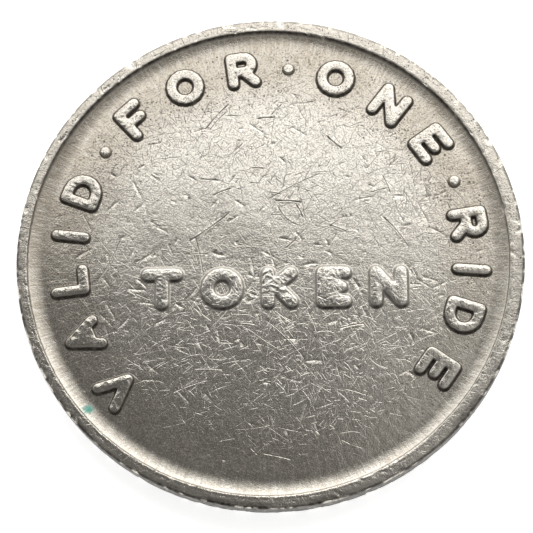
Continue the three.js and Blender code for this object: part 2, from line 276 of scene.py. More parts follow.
class Face:
    """One face of the token: where its field lies and what handling did to it."""

    def __init__(self, level, up, seed, count, long_ones, dish):
        self.level, self.up, self.dish = level, up, dish
        self.swell = waves(seed, 2.0, 9.0)
        self.ripple = waves(seed + 1, 0.35, 1.4)
        self.scratches = [Scratch(*each) for each in long_ones]
        self.scratches += random_scratches(seed + 2, count, LAND_INSIDE - 1.1)
        rng = np.random.default_rng(seed + 3)
        turn = rng.uniform(0, 2 * math.pi, PITS)
        r = PIT_REACH * np.sqrt(rng.uniform(0.1, 1, PITS))
        self.pits = np.stack([r * np.cos(turn), r * np.sin(turn)], 1)
        self.pit_size = rng.uniform(0.03, 0.09, PITS)
        self.pit_depth = self.pit_size * rng.uniform(0.08, 0.2, PITS)

    def calm(self, x, y):
        """Height over the field's level before any damage."""
        share = np.clip(np.hypot(x, y) / LAND_INSIDE, 0, 1)
        rolling = 0.005 * self.swell(x, y) + 0.0009 * self.ripple(x, y)
        return rolling * (1 - smooth((share - 0.9) / 0.1)) - self.dish * (1 - share**2)

    def dirt_and_shade(self, x, y):
        """How dark the carved scratches are: dirty grooves with painted shade, kept to the far side and
        fading out towards the near side.
        """
        depth = np.zeros(np.shape(x))
        for scratch in self.scratches:
            depth = depth - np.minimum(scratch.carve(x, y), 0)
        # Painted shade: the grooves are darkened only towards the far (+y) side, not on the near side
        return np.clip(depth / GROOVE_DARKENING_DEPTH, 0, 1) * smooth((y + 3) / 5)

    def damage(self, x, y):
        """How far scratches and pits move each point."""
        move = np.zeros(np.shape(x))
        for scratch in self.scratches:
            move = move + scratch.carve(x, y)
        for (px, py), size, depth in zip(self.pits, self.pit_size, self.pit_depth):
            near = (np.abs(x - px) < 2 * size) & (np.abs(y - py) < 2 * size)
            if near.any():
                away = ((x[near] - px) ** 2 + (y[near] - py) ** 2) / size**2
                move[near] -= depth * np.exp(-2 * away)
        return move


# ---- meshes

def linked(name, data):
    """A new object in the scene, at the origin."""
    made = bpy.data.objects.new(name, data)
    bpy.context.scene.collection.objects.link(made)
    return made


def new_piece(name, points, faces, material, replaced):
    """A smooth mesh object from points in mm, which rides on the token and stands for CAD nodes."""
    points = np.array(points)
    points[:, 2] = np.clip(points[:, 2], 0, THICKNESS)
    mesh = bpy.data.meshes.new(name)
    mesh.from_pydata((points * MM).tolist(), [], faces)
    mesh.update()
    mesh.shade_smooth()
    mesh.materials.append(material)
    piece = linked(name, mesh)
    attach(piece, BODY)
    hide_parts(*replaced)
    return piece


def paint(piece, name, values):
    """Stores one number for each point of a mesh, for its material."""
    attribute = piece.data.attributes.new(name, "FLOAT", "POINT")
    attribute.data.foreach_set("value", np.asarray(values, np.float32))


# ---- relief

def outline(node, level):
    """The closed outline of a relief node where it stands on the field, as segments in mm."""
    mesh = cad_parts[node].data
    points = np.array([tuple(v.co) for v in mesh.vertices]) / MM
    keys = [tuple(np.round(point * 1000).astype(int)) for point in points]
    edges = {}
    for polygon in mesh.polygons:
        corners = list(polygon.vertices)
        if any(abs(points[i][2] - level) > 1e-3 for i in corners):
            continue
        for a, b in zip(corners, corners[1:] + corners[:1]):
            pair = (keys[a][:2], keys[b][:2])
            if pair[0] == pair[1]:
                continue
            if pair[::-1] in edges:
                del edges[pair[::-1]]
            else:
                edges[pair] = (points[a][:2], points[b][:2])
    return np.array(list(edges.values()))


def signed_distance(segments, x, y):
    """Distance from an outline in mm, positive inside it."""
    nearest = np.full(x.shape, 1e9)
    inside = np.zeros(x.shape, bool)
    for (ax, ay), (bx, by) in segments:
        dx, dy = bx - ax, by - ay
        share = np.clip(((x - ax) * dx + (y - ay) * dy) / max(dx * dx + dy * dy, 1e-12), 0, 1)
        nearest = np.minimum(nearest, (x - ax - share * dx) ** 2 + (y - ay - share * dy) ** 2)
        if ay != by:
            crosses = ((ay > y) != (by > y)) & (x < dx * (y - ay) / (by - ay) + ax)
            inside ^= crosses
    return np.where(inside, 1, -1) * np.sqrt(nearest)


def blurred(values, cells):
    """A grid smoothed by a bell curve that many cells wide."""
    reach = int(3 * cells) + 1
    bell = np.exp(-0.5 * (np.arange(-reach, reach + 1) / cells) ** 2)
    bell = bell / bell.sum()
    for axis in (0, 1):
        padded = np.pad(values, [(reach, reach) if i == axis else (0, 0) for i in (0, 1)], mode="edge")
        values = np.apply_along_axis(np.convolve, axis, padded, bell, mode="valid")
    return values


def grid_solid(keep, top, bottom, x, y):
    """The closed solid between two heights over a grid's kept cells: points, faces, corners in use."""
    rows, columns = x.shape
    used = np.zeros((rows, columns), bool)
    for i, j in ((0, 0), (0, 1), (1, 0), (1, 1)):
        used[i:rows - 1 + i, j:columns - 1 + j] |= keep
    number = np.full((rows, columns), -1)
    number[used] = np.arange(used.sum())
    count = int(used.sum())
    points = np.concatenate([
        np.stack([x[used], y[used], top[used]], 1),
        np.stack([x[used], y[used], bottom[used]], 1),
    ])
    faces = []
    ring = np.pad(keep, 1)
    for i, j in zip(*np.nonzero(keep)):
        a, b = number[i, j], number[i, j + 1]
        c, d = number[i + 1, j + 1], number[i + 1, j]
        faces.append((a, b, c, d))
        faces.append((d + count, c + count, b + count, a + count))
        if not ring[i, j + 1]:
            faces.append((b, a, a + count, b + count))
        if not ring[i + 2, j + 1]:
            faces.append((d, c, c + count, d + count))
        if not ring[i + 1, j]:
            faces.append((a, d, d + count, a + count))
        if not ring[i + 1, j + 2]:
            faces.append((c, b, b + count, c + count))
    return points, [tuple(int(i) for i in face) for face in faces], used


def strike(node, face, step, rise, flank, crown, wrinkle, seed, material, softness=0.022, foot_fade=0.0):
    """Turns a relief node into struck metal: sloping flanks, a crowned worn top and a soft foot."""
    segments = outline(node, face.level)
    margin = SKIRT + 3 * step
    low = segments.reshape(-1, 2).min(0) - margin
    high = segments.reshape(-1, 2).max(0) + margin
    x, y = np.meshgrid(np.arange(low[0], high[0], step), np.arange(low[1], high[1], step))
    inside = blurred(signed_distance(segments, x, y), softness / step)
    half = max(float(np.quantile(inside[inside > 0], 0.97)), flank)
    flare = 0.35 * flank
    wall = smooth((inside + flare) / (flank + flare))
    dome = 1 - (1 - np.clip(inside / half, 0, 1)) ** 2
    body = rise * wall * (1 - crown + crown * dome)
    body = body + wrinkle * np.abs(waves(seed, 0.22, 0.9)(x, y)) * -smooth(inside / flank)
    skirt = SKIRT_RISE - (SKIRT_RISE + SKIRT_DROP) * smooth((-inside - flare - 0.02) / (SKIRT - flare))
    height = np.where(inside > -flare, body + SKIRT_RISE, skirt)
    ground = face.level + face.up * face.calm(x, y)
    top = ground + face.up * (height + face.damage(x, y))
    bottom = np.full(x.shape, face.level - face.up * FOOT_DEPTH)
    cell = (inside[:-1, :-1] + inside[1:, 1:]) / 2
    points, faces, used = grid_solid(cell > -SKIRT, top, bottom, x, y)
    if face.up < 0:
        faces = [each[::-1] for each in faces]
    piece = new_piece(node, points, faces, material, [node])
    # The foot is darkened all round with dirt and painted shade; on the lower (-y) side the darkening is
    # wider and stays where the rest fades, as a painted shadow
    under = np.clip(np.gradient(inside, step, axis=0), 0, 1)[used]
    from_foot = (inside[used] - 0.006 - 0.02 * under) / (0.046 + 0.03 * under)
    foot = np.minimum(1.4 * np.exp(-from_foot ** 2), 1) * (1 - foot_fade * (1 - under))
    crest = smooth((height[used] - 0.6 * rise) / (0.4 * rise))
    paint(piece, "grime", np.concatenate([foot, np.ones(foot.size)]))
    paint(piece, "wear", np.concatenate([crest, np.zeros(foot.size)]))


# ---- the blank

def meshed_field(face, centre, reach, step, line_step):
    """Points and triangles of a field: its round edge, a honeycomb, and lines along each scratch."""
    turn = 2 * math.pi * np.arange(SEGMENTS) / SEGMENTS
    points = [(centre + reach * math.cos(t), reach * math.sin(t)) for t in turn]
    edges = []
    inner = reach - 0.12
    for scratch in face.scratches:
        sides = (0, 1.2, -1.2) if scratch.half < 0.021 else (0, 0.9, -0.9, 1.3, -1.3, 1.9, -1.9)
        for side in sides:
            last = None
            for px, py in scratch.line(side * scratch.half, line_step):
                if math.hypot(px - centre, py) > inner:
                    last = None
                    continue
                points.append((px, py))
                if last is not None:
                    edges.append((last, len(points) - 1))
                last = len(points) - 1
    for (px, py), size in zip(face.pits, face.pit_size):
        if math.hypot(px, py) > inner - 0.1:
            continue
        points.append((px, py))
        for k in range(6):
            points.append((px + size * math.cos(k * math.pi / 3), py + size * math.sin(k * math.pi / 3)))
    near = set()
    cell = 0.5 * step
    for px, py in points[SEGMENTS:]:
        near.add((round(px / cell), round(py / cell)))
    rng = np.random.default_rng(11)
    for row in range(-int(reach / step * 1.2), int(reach / step * 1.2) + 1):
        y = row * step * math.sqrt(3) / 2
        for column in range(-int(reach / step), int(reach / step) + 1):
            px = centre + (column + 0.5 * (row % 2)) * step + rng.normal(0, 0.06 * step)
            py = y + rng.normal(0, 0.06 * step)
            if math.hypot(px - centre, py) > reach - 0.6 * step:
                continue
            if (round(px / cell), round(py / cell)) not in near:
                points.append((px, py))
    made = geometry.delaunay_2d_cdt([Vector(p) for p in points], edges, [], 0, 1e-4)
    flat = np.array([tuple(v) for v in made[0]])
    place = {}
    for index, sources in enumerate(made[3]):
        for source in sources:
            if source < SEGMENTS:
                place[source] = index
    return flat, [tuple(each) for each in made[2]], [place[i] for i in range(SEGMENTS)]


def rim_profile(shape, face_depth):
    """One side of the rim from the field's edge to the corner: share of the strike offset, r, rise."""
    wall_rise, wall_run, ramp = shape.wall_rise / MM, shape.wall_run / MM, shape.ramp_width / MM
    foot = LAND_INSIDE - wall_run
    rings = []
    for i in range(1, RAMP_RINGS + 1):
        share = i / RAMP_RINGS
        rings.append((1, foot - ramp * (1 - share), (face_depth - wall_rise) * share**RAMP_CURVE))
    for across, up in ((0.2, 0.2), (0.45, 0.6), (0.7, 0.83), (1.1, 0.95), (1.6, 1.0)):
        rings.append((1, foot + wall_run * across, face_depth - wall_rise * (1 - up)))
    outer = RADIUS - EDGE_ROUND
    for i in range(LAND_RINGS):
        share = i / LAND_RINGS
        inner = LAND_INSIDE + 0.08
        drop = BURR_HEIGHT * (i > 0) + (LAND_DROP - BURR_HEIGHT) * share**2.2
        rings.append((1 - share, inner + (outer - inner) * share, face_depth - drop))
    return rings


LAND_GRIME = 0.2  # how dirty the land's top is, of 1
BURR_RINGS = (4, 8)  # the rings round the land's inner side, counted from the wall's foot


def nicked(points, normals, seed, count):
    """Dents in the rim, each a small oval pushed in. Returns how hard each point was hit."""
    rings, segments = points.shape[:2]
    rng = np.random.default_rng(seed)
    hit = np.zeros((rings, segments))
    pitch = 2 * math.pi * RADIUS / segments
    for _ in range(count):
        ring = int(np.clip(rng.normal(0.5, 0.24) * rings, 0, rings - 1))
        if rng.uniform() < 0.35:
            ring = int(rng.integers(BURR_RINGS[0], BURR_RINGS[1]))
        segment = rng.integers(segments)
        long_way, short_way = rng.uniform(0.05, 0.3), rng.uniform(0.03, 0.09)
        depth = 0.028 * rng.uniform() ** 2 + 0.004
        lean = rng.normal(0, 0.6)
        span = int(3 * long_way / pitch) + 2
        columns = np.arange(segment - span, segment + span + 1) % segments
        centre, normal = points[ring, segment], normals[ring, segment]
        offset = points[:, columns] - centre
        heading = np.array([-centre[1], centre[0], 0]) / np.hypot(centre[0], centre[1])
        side = np.cross(normal, heading)
        tangent = heading * math.cos(lean) + side * math.sin(lean)
        side = np.cross(normal, tangent)
        away = (offset @ tangent / long_way) ** 2 + (offset @ side / short_way) ** 2
        away = away + (offset @ normal / 0.25) ** 2
        push = depth * np.exp(-1.5 * away)
        points[:, columns] -= push[..., None] * normal
        hit[:, columns] += push / 0.02
    return hit


def chipped(points, seed, count, side):
    """Flats that knocks cut across the edge of one face. Returns how deep each point was cut."""
    segments = points.shape[1]
    rng = np.random.default_rng(seed)
    hit = np.zeros(points.shape[:2])
    pitch = 2 * math.pi * RADIUS / segments
    for _ in range(count):
        turn = rng.uniform(0, 2 * math.pi)
        half = rng.uniform(0.08, 0.3)
        depth = 0.008 + 0.044 * rng.uniform() ** 2
        lean = math.radians(rng.uniform(22, 76))
        skew = rng.normal(0, 0.34)
        middle = int(turn / (2 * math.pi) * segments)
        span = int(half / pitch) + 2
        columns = np.arange(middle - span, middle + span + 1) % segments
        outward = np.array([math.cos(turn), math.sin(turn), 0])
        along = np.array([-math.sin(turn), math.cos(turn), 0])
        corner = RADIUS - EDGE_ROUND
        level = THICKNESS - LAND_DROP - EDGE_ROUND if side > 0 else LAND_DROP + EDGE_ROUND
        normal = outward * math.cos(lean) + np.array([0, 0, side * math.sin(lean)]) + along * skew
        normal = normal / np.linalg.norm(normal)
        start = outward * corner + np.array([0, 0, level]) + normal * EDGE_ROUND
        offset = points[:, columns] - start
        run = offset @ along / half
        over = np.clip(offset @ normal + depth * (1 - run**2), 0, 2 * depth) * (np.abs(run) < 1)
        points[:, columns] -= over[..., None] * normal
        hit[:, columns] += over / 0.01
    return hit


def rings_down(shape, obverse, reverse):
    """Rings from the obverse field over the edge to the reverse: centre, r, z, outward, upward, face."""
    rings = []
    corner = RADIUS - EDGE_ROUND
    wall_top = THICKNESS - LAND_DROP - EDGE_ROUND
    wall_foot = LAND_DROP + EDGE_ROUND
    for offset, r, rise in rim_profile(shape, THICKNESS - obverse.level):
        rings.append((-STRIKE_OFFSET * offset, r, obverse.level + rise, 0, 1, obverse))
    for i in range(ROUND_STEPS):
        lean = math.pi / 2 * i / ROUND_STEPS
        out, up = math.sin(lean), math.cos(lean)
        rings.append((0, corner + EDGE_ROUND * out, wall_top + EDGE_ROUND * up, out, up, None))
    for i in range(EDGE_STEPS + 1):
        rings.append((0, RADIUS, wall_top - (wall_top - wall_foot) * i / EDGE_STEPS, 1, 0, None))
    for i in range(1, ROUND_STEPS):
        lean = math.pi / 2 * i / ROUND_STEPS
        out, down = math.cos(lean), math.sin(lean)
        rings.append((0, corner + EDGE_ROUND * out, wall_foot - EDGE_ROUND * down, out, -down, None))
    for offset, r, rise in reversed(rim_profile(shape, reverse.level)):
        rings.append((STRIKE_OFFSET * offset, r, reverse.level - rise, 0, -1, reverse))
    return rings


class RimDirtAndShade:
    """How dark the rim is painted round the token, ring by ring: dirty corners with painted shade on the far
    side, an edge with painted shade on the near side, and a land darker towards the near side.
    """

    def __init__(self, turn, foot):
        self.foot = foot
        self.far_side = smooth((np.sin(turn) + 0.1) / 0.8)
        self.near_side = smooth((0.25 - np.sin(turn)) / 0.6)
        uneven = waves(306, 2.0, 8.0, 16)(RADIUS * np.cos(turn), RADIUS * np.sin(turn))
        self.near_side_darkening = self.near_side * smooth(0.55 + 0.6 * uneven)

    def on_face(self, r):
        # Dirt in the wall's corner, with painted shade that makes it wider and darker on the far side
        corner = np.exp(-((r - self.foot) / (0.04 + 0.05 * self.far_side)) ** 2)
        corner = np.minimum(1.6 * corner, 1) * (0.4 + 0.6 * self.far_side)
        # The land: an even share of dirt, and darker towards the near side on its outer part
        land = LAND_GRIME * (r > LAND_INSIDE + 0.05)
        return corner + (land + 0.6 * self.near_side_darkening * smooth((r - 11.1) / 0.2))

    def on_edge(self, outward):
        # The edge wall: dirt, with painted shade that darkens it towards the near side; its rounded corners
        # are lighter towards the far side and darker towards the near side
        if outward > 0.9:
            return 0.55 + 0.4 * self.near_side
        return 0.85 - 0.3 * self.far_side + 0.15 * self.near_side_darkening


def make_blank(shape, obverse, reverse, material):
    reach = LAND_INSIDE - (shape.wall_run + shape.ramp_width) / MM
    top_flat, top_faces, top_edge = meshed_field(obverse, -STRIKE_OFFSET, reach, *OBVERSE_STEPS)
    low_flat, low_faces, low_edge = meshed_field(reverse, STRIKE_OFFSET, reach, *REVERSE_STEPS)

    def raised(flat, face):
        x, y = flat[:, 0], flat[:, 1]
        z = face.level + face.up * (face.calm(x, y) + face.damage(x, y))
        return np.stack([x, y, z], 1)

    rings = rings_down(shape, obverse, reverse)
    turn = 2 * math.pi * np.arange(SEGMENTS) / SEGMENTS
    grit = waves(301, 0.1, 0.5)
    sway = waves(302, 1.5, 9.0, 16)
    rim_dirt_and_shade = RimDirtAndShade(turn, LAND_INSIDE - shape.wall_run / MM)
    points = np.zeros((len(rings), SEGMENTS, 3))
    normals = np.zeros_like(points)
    grime = np.zeros((len(rings), SEGMENTS))
    wear = np.zeros((len(rings), SEGMENTS))
    for i, (centre, r, z, out, up, face) in enumerate(rings):
        radius = np.full(SEGMENTS, r)
        if face and r < RADIUS - EDGE_ROUND:
            radius = radius + 0.006 * sway(r * np.cos(turn), r * np.sin(turn))
        if face and abs(r - LAND_INSIDE) < 0.1:
            radius = radius + 0.0035 * grit(turn * 11, turn * 0 + z)
        x, y = centre + radius * np.cos(turn), radius * np.sin(turn)
        normals[i] = np.stack([out * np.cos(turn), out * np.sin(turn), np.full(SEGMENTS, up)], 1)
        height = np.full(SEGMENTS, z)
        if face and r < LAND_INSIDE:
            height = height + face.up * (face.calm(x, y) + face.damage(x, y))
        points[i] = np.stack([x, y, height], 1)
        if r >= LAND_INSIDE:
            dig = 0.0028 * np.abs(grit(x * (1 + 0.1 * z), y + 3 * z))
            points[i] -= dig[:, None] * normals[i]
            wear[i] = 0.65
        grime[i] = rim_dirt_and_shade.on_face(r) if face else rim_dirt_and_shade.on_edge(out)
    rim = slice(RAMP_RINGS, -RAMP_RINGS)
    middle = len(rings) // 2
    hit = nicked(points[rim], normals[rim], 303, shape.nicks)
    hit[:middle - RAMP_RINGS] += chipped(points[RAMP_RINGS:middle], 304, shape.chips, 1)
    hit[middle - RAMP_RINGS:] += chipped(points[middle:-RAMP_RINGS], 305, shape.chips, -1)
    wear[rim] = np.clip(wear[rim] + 0.5 * hit, 0, 1)
    grime[rim] *= np.clip(1 - hit, 0, 1)

    top, low = raised(top_flat, obverse), raised(low_flat, reverse)
    every = np.concatenate([top, points.reshape(-1, 3), low])
    after = len(top) + len(rings) * SEGMENTS
    faces = list(top_faces) + [tuple(i + after for i in each[::-1]) for each in low_faces]
    loops = [np.array(top_edge)]
    loops += [len(top) + i * SEGMENTS + np.arange(SEGMENTS) for i in range(len(rings))]
    loops += [np.array(low_edge) + after]
    for upper, lower in zip(loops, loops[1:]):
        shifted_upper, shifted_lower = np.roll(upper, -1), np.roll(lower, -1)
        faces += zip(upper.tolist(), lower.tolist(), shifted_lower.tolist(), shifted_upper.tolist())
    piece = new_piece("blank", every, faces, material, ["blank"])
    dirt_and_shade = obverse.dirt_and_shade(top[:, 0], top[:, 1])
    paint(piece, "grime", np.concatenate([dirt_and_shade, grime.ravel(), np.zeros(len(low))]))
    paint(piece, "wear", np.concatenate([np.zeros(len(top)), wear.ravel(), np.zeros(len(low))]))


# ---- materials

class Nodes:
    """Adds a tree's nodes and links in few words. Inputs are values or the sockets that feed them."""

    def __init__(self, tree):
        self.tree = tree

    def add(self, kind, inputs=None, **settings):
        node = self.tree.nodes.new(kind)
        for key, value in settings.items():
            setattr(node, key, value)
        for key, value in (inputs or {}).items():
            if isinstance(value, bpy.types.NodeSocket):
                self.tree.links.new(value, node.inputs[key])
            else:
                node.inputs[key].default_value = value
        return node

    def math(self, operation, a, b=0.0, c=0.0, clamp=False):
        inputs = {0: a, 1: b, 2: c}
        return self.add("ShaderNodeMath", inputs, operation=operation, use_clamp=clamp).outputs[0]

    def times(self, a, b, clamp=False):
        return self.math("MULTIPLY", a, b, clamp=clamp)

    def times_plus(self, a, b, c, clamp=False):
        return self.math("MULTIPLY_ADD", a, b, c, clamp)

    def minus(self, a, b, clamp=False):
        return self.math("SUBTRACT", a, b, clamp=clamp)

    def vector(self, operation, a, b=(0, 0, 0)):
        return self.add("ShaderNodeVectorMath", {0: a, 1: b}, operation=operation).outputs["Vector"]

    def measure(self, operation, a, b=(0, 0, 0)):
        """A number that two vectors give: a length, a distance or a dot product."""
        return self.add("ShaderNodeVectorMath", {0: a, 1: b}, operation=operation).outputs["Value"]

    def scaled(self, a, scale):
        return self.add("ShaderNodeVectorMath", {0: a, "Scale": scale}, operation="SCALE").outputs["Vector"]

    def joined(self, x, y, z=0.0):
        return self.add("ShaderNodeCombineXYZ", {0: x, 1: y, 2: z}).outputs[0]

    def split(self, a):
        return self.add("ShaderNodeSeparateXYZ", {0: a}).outputs

    def ranged(self, value, low, high, to_low=0.0, to_high=1.0, eased=False):
        """The value's place between low and high, as a number between the other two."""
        return self.add("ShaderNodeMapRange", {
            "Value": value, "From Min": low, "From Max": high, "To Min": to_low, "To Max": to_high},
            interpolation_type="SMOOTHSTEP" if eased else "LINEAR").outputs["Result"]

    def mix(self, share, a, b):
        return self.add("ShaderNodeMix", {"Factor": share, 6: a, 7: b}, data_type="RGBA").outputs[2]

    def noise(self, where, scale, detail=2.0, roughness=0.5):
        return self.add("ShaderNodeTexNoise", {
            "Vector": where, "Scale": scale, "Detail": detail, "Roughness": roughness}).outputs["Fac"]

    def cells(self, where, scale):
        """The nearest point of an uneven flat grid, and three random numbers that belong to it."""
        grid = self.add("ShaderNodeTexVoronoi", {"Vector": where, "Scale": scale}, voronoi_dimensions="2D")
        chance = self.add("ShaderNodeSeparateColor", {0: grid.outputs["Color"]}).outputs
        return grid.outputs, chance

    def surface(self, colour, rough, bump, **more):
        """Ends a material: a principled shader on its output."""
        shader = self.add("ShaderNodeBsdfPrincipled", {
            "Base Color": colour, "Roughness": rough, "Normal": bump.outputs[0], **more})
        self.add("ShaderNodeOutputMaterial", {0: shader.outputs[0]})


def new_group(name, kind, **sockets):
    """An empty node group, its node adder and its inputs: Half_turn="Float" adds a number."""
    tree = bpy.data.node_groups.new(name, kind)
    for label, value in sockets.items():
        tree.interface.new_socket(label.replace("_", " "), in_out="INPUT", socket_type="NodeSocket" + value)
    n = Nodes(tree)
    return tree, n, n.add("NodeGroupInput").outputs


def finish_group(tree, n, name, kind, result):
    tree.interface.new_socket(name, in_out="OUTPUT", socket_type="NodeSocket" + kind)
    n.add("NodeGroupOutput", {0: result})
    return tree


def new_material(name):
    """A material, its node adder, and the place on the object in mm."""
    material = bpy.data.materials.new(name)
    material.use_nodes = True
    material.node_tree.nodes.clear()
    n = Nodes(material.node_tree)
    return material, n, n.scaled(n.add("ShaderNodeTexCoord").outputs["Object"], 1 / MM)


def needle_group():
    """A node group: one fine straight scratch in each cell of an uneven grid, turned at random."""
    group, n, given = new_group(
        "Needle scratches", "ShaderNodeTree", Where="Vector", Cell="Float", Width="Float", Shift="Float")
    shift = n.joined(given["Shift"], given["Shift"])
    place = n.vector("ADD", n.scaled(given["Where"], n.math("DIVIDE", 1.0, given["Cell"])), shift)
    nearest, chance = n.cells(place, 1.0)
    away = n.vector("MULTIPLY", n.vector("SUBTRACT", place, nearest["Position"]), (1, 1, 0))
    turned = n.add("ShaderNodeVectorRotate", {
        "Vector": away, "Angle": n.times(chance[0], 2 * math.pi)}, rotation_type="Z_AXIS")
    along_across = n.split(turned.outputs[0])
    reach = n.ranged(chance[1], 0, 1, 0.15, 0.75)
    along = n.ranged(n.math("DIVIDE", n.math("ABSOLUTE", along_across[0]), reach), 1.0, 0.5)
    width = n.math("DIVIDE", given["Width"], given["Cell"])
    across = n.ranged(n.math("DIVIDE", n.math("ABSOLUTE", along_across[1]), width), 1.0, 0.0)
    strength = n.ranged(chance[2], 0.1, 1.0, 0.15, 1.0)
    groove = n.times(n.times(along, across), strength)
    return finish_group(group, n, "Groove", "Float", groove)


# Zones of the face from above: the radii in mm where each starts and is full
PITTED = (5.0, 8.2)
TONED = (6.6, 9.3)
SHELTERED = (7.6, 10.2)
STREAKED = (8.4, 10.3)
RAMP = (9.9, 10.4)
LAND = (10.88, 11.0)
BEFORE_LAND = (10.97, 10.9)
BEFORE_EDGE = (11.46, 11.4)
NEEDLE_CELLS = (1.9, 1.35, 1.0, 0.8, 0.62, 0.5, 0.4, 0.32)  # mm, one layer of scratches for each
PIT_LAYERS = ((2.2, 0.2), (4.6, 0.38), (7.5, 0.46))  # cells to a mm, and the largest pit in cells


def hair_scratches(n, flat, radius, land, flat_part):
    """Fine grooves, bent a little by a slow noise, and fewer under the rim's shelter."""
    bend = n.add("ShaderNodeTexNoise", {"Vector": flat, "Scale": 0.5, "Detail": 0.0}).outputs["Color"]
    bent = n.vector("ADD", flat, n.scaled(bend, 0.7))
    needles = bpy.data.node_groups.get("Needle scratches") or needle_group()
    grooves = 0.0
    for i, cell in enumerate(NEEDLE_CELLS):
        layer = n.add("ShaderNodeGroup", {
            "Where": bent, "Cell": cell, "Width": 0.02 + 0.004 * (i % 3), "Shift": 7.3 * i + 1.7},
            node_tree=needles)
        grooves = n.math("ADD", grooves, layer.outputs["Groove"])
    shelter = n.times_plus(land, 0.8, n.ranged(radius, *SHELTERED, 1.0, 0.25, eased=True))
    across = n.measure("DOT_PRODUCT", flat, (1.0, 0.6, 0.0))
    patches = n.ranged(n.noise(flat, 0.35, 2.0), 0.35, 0.65, 0.55, 1.0)
    patches = n.times(patches, n.ranged(across, -9.0, -3.0, 0.65, 1.0))
    return n.times(n.times(grooves, n.times(shelter, flat_part)), patches)


def corrosion_pits(n, flat, radius, open_metal):
    """Small dark pits in clusters, most of them near the legend."""
    clusters = n.ranged(n.noise(flat, 0.9, 2.0, 0.6), 0.36, 0.54)
    crowd = n.times(n.ranged(radius, *PITTED, 0.3, 1.0, eased=True), clusters)
    crowd = n.times(crowd, open_metal)
    pits = 0.0
    for scale, largest in PIT_LAYERS:
        nearest, chance = n.cells(flat, scale)
        size = n.times(n.ranged(chance[0], 0.3, 1.0, 0.0, largest), crowd)
        pit = n.ranged(n.math("DIVIDE", nearest["Distance"], n.math("MAXIMUM", size, 0.001)), 1.0, 0.4)
        pit = n.times(pit, n.ranged(chance[1], 0.2, 0.9, 0.25, 1.0))
        pits = n.math("MAXIMUM", pit, pits)
    return pits


def metal_material(name, finish, roughness, grain, scratch, toning, speckle=0.45, on_edge=False):
    """Struck cupronickel: grain, pits, hair scratches, tarnish, and darkening of dirty metal and painted
    shade where the mesh says so.
    """
    material, n, where = new_material(name)
    flat = n.vector("MULTIPLY", where, (1, 1, 0))
    radius = n.measure("LENGTH", flat)
    grime = n.add("ShaderNodeAttribute", attribute_name="grime").outputs["Fac"]
    wear = n.add("ShaderNodeAttribute", attribute_name="wear").outputs["Fac"]
    parts = n.split(where)

    # Where the rim's parts are, seen from above
    land = n.ranged(radius, *LAND)
    flat_part = n.ranged(radius, *BEFORE_EDGE)
    before_land = n.ranged(radius, *BEFORE_LAND)
    ramp = n.times(n.ranged(radius, *RAMP, eased=True), before_land)
    calm = n.times_plus(ramp, -0.65, 1.0)

    # Height: grooves, pits, grain, and streaks where the metal flowed up to the rim
    grooves = hair_scratches(n, flat, radius, land, flat_part)
    pits = corrosion_pits(n, flat, radius, n.times(calm, flat_part))
    angle = n.math("ARCTAN2", parts[1], parts[0])
    polar = n.joined(n.times(angle, 95.0), n.times(radius, 1.1), n.times(parts[2], 2.0))
    flow = n.noise(polar, 1.0, 2.0, 0.6)
    flow_zone = n.times(n.ranged(radius, *STREAKED, eased=True), before_land)
    grain = n.times(n.times_plus(land, 1.2 * grain, grain), calm)
    height = n.times(n.noise(where, 13.0, 2.0, 0.6), grain)
    height = n.times_plus(n.noise(where, 3.2, 2.0, 0.55), n.times(grain, 1.6), height)
    height = n.times_plus(grooves, -scratch, height)
    height = n.times_plus(pits, -2.5, height)
    height = n.times_plus(n.times(flow, flow_zone), 3.0, height)
    bump = n.add("ShaderNodeBump", {"Height": height, "Distance": 0.001 * MM, "Strength": 1.0})

    # Colour: bare metal, tarnished towards the rim and in clouds, less so on the worn crests
    clouds = n.ranged(n.noise(flat, 0.45, 3.0, 0.6), 0.3, 0.7, 0.55, 1.0)
    tone = n.times(n.ranged(radius, *TONED, 0.08, 1.0, eased=True), clouds)
    tone = n.times(tone, n.ranged(parts[1], -6.0, 3.0, 0.35, 0.9))
    tone = n.times(n.times_plus(n.noise(flat, 2.4, 3.0, 0.6), 0.35, tone), toning)
    tone = n.times_plus(n.times(n.minus(flow, 0.5), flow_zone), 1.6, tone)
    tone = n.times(tone, n.ranged(wear, 0.0, 1.0, 1.0, 0.3), clamp=True)
    colour = n.mix(tone, tuple(finish.metal), tuple(finish.toned))

    # Dirt and painted shade: in the corners and at the feet as the mesh paints them, dirt in the pits, dirt
    # with painted shade in the grooves of the far side, and specks of dirt everywhere
    dirt_and_shade = n.times(grime, n.ranged(n.noise(where, 5.0, 2.0), 0.3, 0.6, 0.75, 1.0))
    # Painted shade: the hair grooves are darkened towards the far (+y) side and much less towards the near
    # side
    far_side_groove_shade = n.ranged(parts[1], -3.0, 3.0, 0.1, 0.95, eased=True)
    elsewhere = n.vector("ADD", where, (31.0, 7.0, 3.0))
    specks = n.times(n.ranged(n.noise(elsewhere, 12.0, 2.0, 0.7), 0.5, 0.68), calm)
    for more in (n.times(pits, 0.85), n.times(grooves, far_side_groove_shade), n.times(specks, speckle)):
        dirt_and_shade = n.math("MAXIMUM", dirt_and_shade, more, clamp=True)
    colour = n.mix(dirt_and_shade, colour, tuple(finish.grime))
    rough = n.ranged(n.noise(where, 6.0, 3.0, 0.6), 0.25, 0.75, roughness - 0.04, roughness + 0.05)
    rough = n.times_plus(wear, -0.03, rough)
    rough = n.times_plus(dirt_and_shade, 0.28, rough, clamp=True)
    metallic = n.minus(1.0, n.times(dirt_and_shade, 0.75), clamp=True)
    if on_edge:
        colour, rough, metallic = with_verdigris(n, where, finish, colour, rough, metallic)
    n.surface(colour, rough, bump, Metallic=metallic)
    return material


